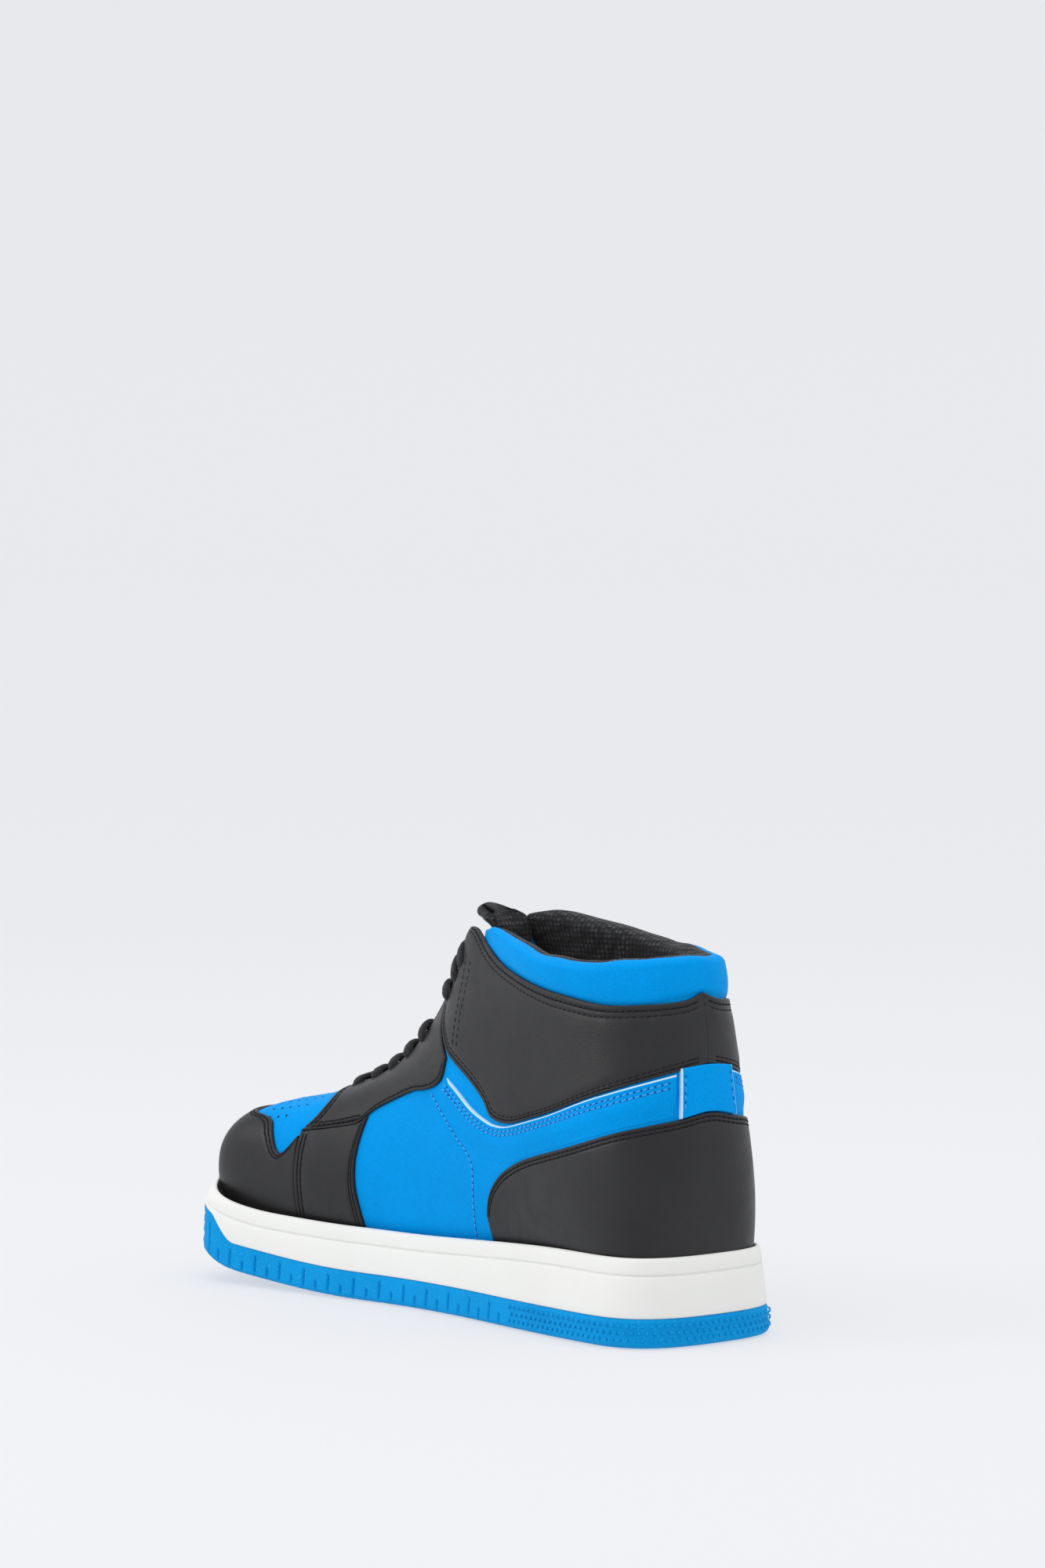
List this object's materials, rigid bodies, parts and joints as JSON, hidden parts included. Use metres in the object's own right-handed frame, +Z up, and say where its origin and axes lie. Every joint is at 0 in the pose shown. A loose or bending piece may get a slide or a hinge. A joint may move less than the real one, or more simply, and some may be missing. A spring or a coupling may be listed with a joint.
{
  "type": "basketball high top shoe",
  "caption": "High-top basketball shoe in black and blue leather with a perforated vamp, padded ankle collar, tied-in black laces and a white cup sole on a blue rubber tread.",
  "frame": {"origin": "on the floor, under the centre of the shoe's bounding box", "axes": "+X to the toe, +Y to the medial side of this right shoe, +Z up"},
  "size_m": [0.2961, 0.1019, 0.1742],
  "materials": {
    "rubber_blue": "matte speckled",
    "foam_white": "satin",
    "fibre_board": "matte",
    "mesh_black": "woven mesh",
    "padding": "open foam",
    "leather_blue": "smooth",
    "leather_black": "fine grain",
    "lace_black": "braided",
    "tip_black": "glossy"
  },
  "bodies": {
    "shoe": {"outsole": "rubber_blue", "midsole_cup": "foam_white", "midsole_wedge": "foam_white", "lasting_board": "fibre_board", "toe_puff": "fibre_board", "heel_stiffener": "fibre_board", "vamp": "leather_blue", "quarter_medial": "leather_blue", "quarter_lateral": "leather_blue", "strap_medial": "leather_blue", "strap_lateral": "leather_blue", "heel_tab": "leather_blue", "collar_outer": "leather_blue", "toe_cap": "leather_black", "side_panel_medial": "leather_black", "side_panel_lateral": "leather_black", "eyestay_medial": "leather_black", "eyestay_lateral": "leather_black", "ankle_panel_medial": "leather_black", "ankle_panel_lateral": "leather_black", "heel_counter": "leather_black", "collar_padding": "padding", "collar_lining": "mesh_black", "heel_lining": "mesh_black", "quarter_lining_medial": "mesh_black", "quarter_lining_lateral": "mesh_black", "vamp_lining": "mesh_black", "lace": "lace_black", "lace_tips": "tip_black"},
    "tongue": {"tongue_outer": "leather_black", "tongue_padding": "padding", "tongue_lining": "mesh_black"},
    "footbed": {"sockliner": "mesh_black"}
  },
  "joints": [
    {"name": "tongue_tilt", "type": "hinge", "parent": "shoe", "child": "tongue", "pos_m": [0.083, 0, 0.0745], "axis": [0, 1, 0], "range_deg": [-3, 0], "stiffness_Nm_per_rad": 0.25, "springref_deg": 8.59},
    {"name": "sockliner_lift", "type": "hinge", "parent": "shoe", "child": "footbed", "pos_m": [0.132, 0, 0.0296], "axis": [0, 1, 0], "range_deg": [0, 7]}
  ]
}
